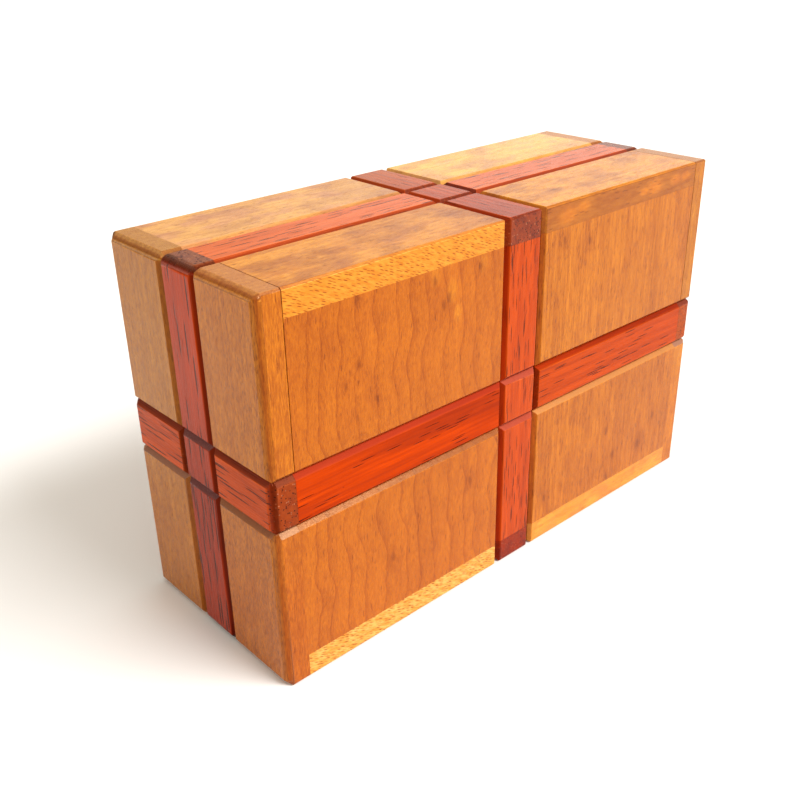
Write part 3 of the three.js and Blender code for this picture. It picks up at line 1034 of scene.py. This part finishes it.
looks = {
    "left_key_board": {
        **endBoards, **shades((195, 111, 21), (159, 80, 12)),
        "side": (1.06, 1.2, 1.3, 1), "endGrain": (1.18, 1.75, 8.5, 1),
    },
    "right_key_board": {**endBoards, **shades((191, 118, 28), (155, 84, 15))},
    "left_front_lower_face_board": {**flatSawn, "wander": 2.2, "groove": (0.78, 0.7, 0.62, 1)},
    "left_front_face_board": flatSawn,
    "right_front_lower_face_board": {
        **riftSawn, **shades((194, 112, 19), (153, 75, 7)),
        "ledge": linear(200, 136, 74), "ledgeStrength": 0.6,
    },
    "right_front_face_board": riftSawn,
    "left_back_face_board": {**riftSawn, "knots": ()},
    "right_back_face_board": {**flatSawn, "knots": (), "glints": ()},
    "left_front_top_board": {
        **quarterSawn, "fleckStrength": 1.0, "cloudShift": 29.0,
        "fade": (0.87, 0.83, 0.82, 1), "fadeSpan": (8.0, 34.0),
    },
    "left_front_bottom_board": {
        **quarterSawn, "fleckStrength": 1.0, "fleckHalf": (0.22, 0.85, 1),
        "fleckLight": linear(222, 166, 84), "fleckDark": linear(208, 134, 44),
    },
    "right_front_top_board": {
        **quarterSawn, **shades((238, 163, 48), (197, 117, 20)),
        "side": (0.48, 0.35, 0.45, 1), "groove": (0.75, 0.5, 0.32, 1),
        # here the painted arris light is a darker brown line instead of a highlight
        "rubbed": (0.5, 0.38, 0.35, 1), "glint": (1.55, 1.6, 1.0, 1),
        "knots": (((20.8, -19.3, 95.2), 0.7, 1.0),),
        "glints": onFront(
            (15.5, 91.6, 0.75, 0.0), (21.0, 92.6, 0.5, 0.0), (46.5, 91.6, 0.4, 0.0),
            (51.0, 91.9, 0.65, 0.0), (60.8, 92.2, 0.5, 0.0), (65.2, 92.2, 0.45, 0.0),
        ),
    },
    "left_back_top_board": {
        **paleTop, **shades((233, 175, 101), (203, 141, 69)),
        "fade": (0.86, 0.82, 0.9, 1), "fadeSpan": (8.0, 34.0),
    },
    "right_back_top_board": {
        **paleTop, **shades((248, 193, 97), (220, 159, 66)),
    },
    "left_front_lower_end_board": {
        **endBoards, **shades((188, 105, 22), (153, 76, 12)),
        "side": (1.1, 1.3, 1.2, 1), "chamfer": (0.84, 0.76, 0.76, 1),
        "ledge": linear(140, 98, 78), "ledgeStrength": 0.6,
    },
    "left_back_end_board": {
        **endBoards, **shades((192, 125, 33), (156, 90, 19)),
    },
    "bottom_board": {**quarterSawn, "cloudStrength": 0.3},
    "end_board": endBoards,
    "hoop_front_strip": hoopUprights,
    "hoop_back_strip": hoopUprights,
    "hoop_top_strip": {
        "refraction": 1.45, **shades((202, 78, 16), (162, 56, 15)),
        "poreShare": 0.3, "poreSize": (0.5, 8.0), "endGrain": (0.45, 0.56, 2.1, 1),
        "fade": (0.86, 1.3, 1.6, 1), "fadeSpan": (-10.0, 28.0),
    },
    "top_arm": topPadauk,
    "right_front_arm": {
        "refraction": 1.22, **shades((189, 68, 5), (154, 50, 4)),
        "bandStrength": 0.25, "poreDrift": 0.12,
    },
    "end_strip": {
        "refraction": 1.33, **shades((188, 61, 11), (157, 46, 8)),
        "bandStrength": 0.3, "pore": linear(66, 9, 5),
        "poreShare": 0.6, "poreDrift": 0.0, "poreSize": (0.8, 14.0),
        "endGrain": (0.52, 1.7, 9.0, 1), "groove": (0.45, 0.3, 0.25, 1),
        "ledge": linear(124, 80, 80), "ledgeStrength": 0.6,
        # painted shade: darker and less blue towards the bottom
        "fade": (0.69, 0.5, 0.3, 1), "fadeSpan": (26.0, -14.0),
    },
    "right_end_front_arm": {**endArms, "endGrain": (0.7, 0.95, 3.2, 1)},
    "end_front_arm": endArms,
    "end_back_arm": endArms,
    "front_arm": {
        "refraction": 1.12, **shades((200, 64, 2), (168, 47, 1)),
        "band": linear(116, 30, 14), "bandSize": (4.0, 18.0), "bandStrength": 0.5, "highShare": 0.4,
        "poreShare": 0.05, "poreDrift": 0.1, "poreSize": (0.36, 8.0),
        "ledge": linear(182, 66, 42), "ledgeStrength": 0.4,
    },
}


def lookOf(name):
    for ending, look in looks.items():
        if name.endswith(ending) or plankOf(name).endswith(ending):
            return look
    return {}


def dressOutside():
    woods = {"cherry": cherryMaterial, "padauk": padaukMaterial}
    slots = {name: node.material_slots[0] for name, node in sorted(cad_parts.items())}
    outer = {name: woods[slot.name] for name, slot in slots.items() if slot.name in woods}
    planks = sorted({plankOf(name) for name in outer})
    for name, make in outer.items():
        seed = 3.7 * planks.index(plankOf(name)) + 11  # a figure of its own for each plank
        made = make(name, grainOf(name), originOf(name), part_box(name), seed, lookOf(name))
        slots[name].material = made
        cleanMesh(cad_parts[name])
        rubEdges(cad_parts[name])


trayGrain = {
    "tray_floor": "X", "tray_front_wall": "X", "tray_back_wall": "X",
    "tray_left_end_block": "Y", "tray_right_end_block": "Y",
}


def dressInside():
    for count, (name, grain) in enumerate(trayGrain.items()):
        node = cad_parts[name]
        origin = sum(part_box(name), Vector()) / 2 / mm
        node.material_slots[0].material = mapleMaterial(name, grain, origin, 5.3 * count + 2)
        cleanMesh(node)
    turned = brassMaterial()
    for name in ("left_lock_pin", "right_lock_pin"):
        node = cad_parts[name]
        node.material_slots[0].material = turned
        cleanMesh(node)


dressOutside()
print("outside dressed")
dressInside()
print("inside dressed")


# The studio: white paper under the box, soft light all round that is brightest at the back, and a
# wide window to the front right, which leaves a soft shadow on the left
studio = {
    "floorSize": 8.0,
    "floorColour": linear(240, 238, 235),
    "floorRoughness": 0.8,
    "floorDrop": 0.02,  # mm
    "roomLight": (0.86, 0.825, 0.76, 1),
    "backLight": (1.3, 1.3, 1.27, 1),
    "backFrom": (0.85, 0.5, 0.0),
    "backSpan": (0.8, 1.0),  # cosines of the angle, where it starts and where it is full
    "shade": (0.42, 0.35, 0.26, 1),
    "shadeFrom": (-0.35, 0.93, 0.1),
    "shadeSpan": (0.25, 1.0),
    "fill": (1.4, 1.38, 1.34, 1),
    "fillFrom": (-0.7, -0.7, 0.15),
    "fillSpan": (0.4, 1.0),
    "windowFrom": (0.29, -0.62, 0.68),
    "windowDistance": 10.0,
    "windowWidth": 6.0,
    "windowHeight": 2.6,
    "windowPower": 1150,
    "windowColour": (0.98, 0.99, 1.0),
}


def makeRoomLight():
    world = bpy.data.worlds.new("studio")
    bpy.context.scene.world = world
    world.use_nodes = True
    tree = world.node_tree
    background = tree.nodes["Background"]
    towards = tree.nodes.new("ShaderNodeTexCoord").outputs["Generated"]
    colour = studio["roomLight"]
    for part in ("back", "shade", "fill"):
        direction = Vector(studio[part + "From"]).normalized()
        share = vectorCalc(tree, "DOT_PRODUCT", towards, direction)
        share = remap(tree, share, *studio[part + "Span"])
        if part == "back":
            colour = blendColour(tree, share, colour, studio["backLight"])
        else:
            colour = tintBy(tree, colour, share, studio, part)
    tree.links.new(colour, background.inputs["Color"])


def makeStudio():
    half = studio["floorSize"] / 2
    mesh = bpy.data.meshes.new("studio_floor")
    corners = [(-half, -half, 0), (half, -half, 0), (half, half, 0), (-half, half, 0)]
    mesh.from_pydata(corners, [], [(0, 1, 2, 3)])
    floor = bpy.data.objects.new("studio_floor", mesh)
    floor.location.z = -studio["floorDrop"] * mm
    bpy.context.collection.objects.link(floor)
    material, tree, shader = startMaterial("white_paper")
    shader.inputs["Base Color"].default_value = studio["floorColour"]
    shader.inputs["Roughness"].default_value = studio["floorRoughness"]
    mesh.materials.append(material)
    makeRoomLight()
    light = bpy.data.lights.new("window", "AREA")
    light.shape = "RECTANGLE"
    light.size = studio["windowWidth"]
    light.size_y = studio["windowHeight"]
    light.energy = studio["windowPower"]
    light.color = studio["windowColour"]
    lamp = bpy.data.objects.new("window", light)
    towards = Vector(studio["windowFrom"]).normalized()
    lamp.location = boxCentre + towards * studio["windowDistance"]
    lamp.rotation_euler = towards.to_track_quat("Z", "Y").to_euler()
    bpy.context.collection.objects.link(lamp)
    bpy.context.scene.view_settings.view_transform = "Standard"


makeStudio()
print("studio lit")
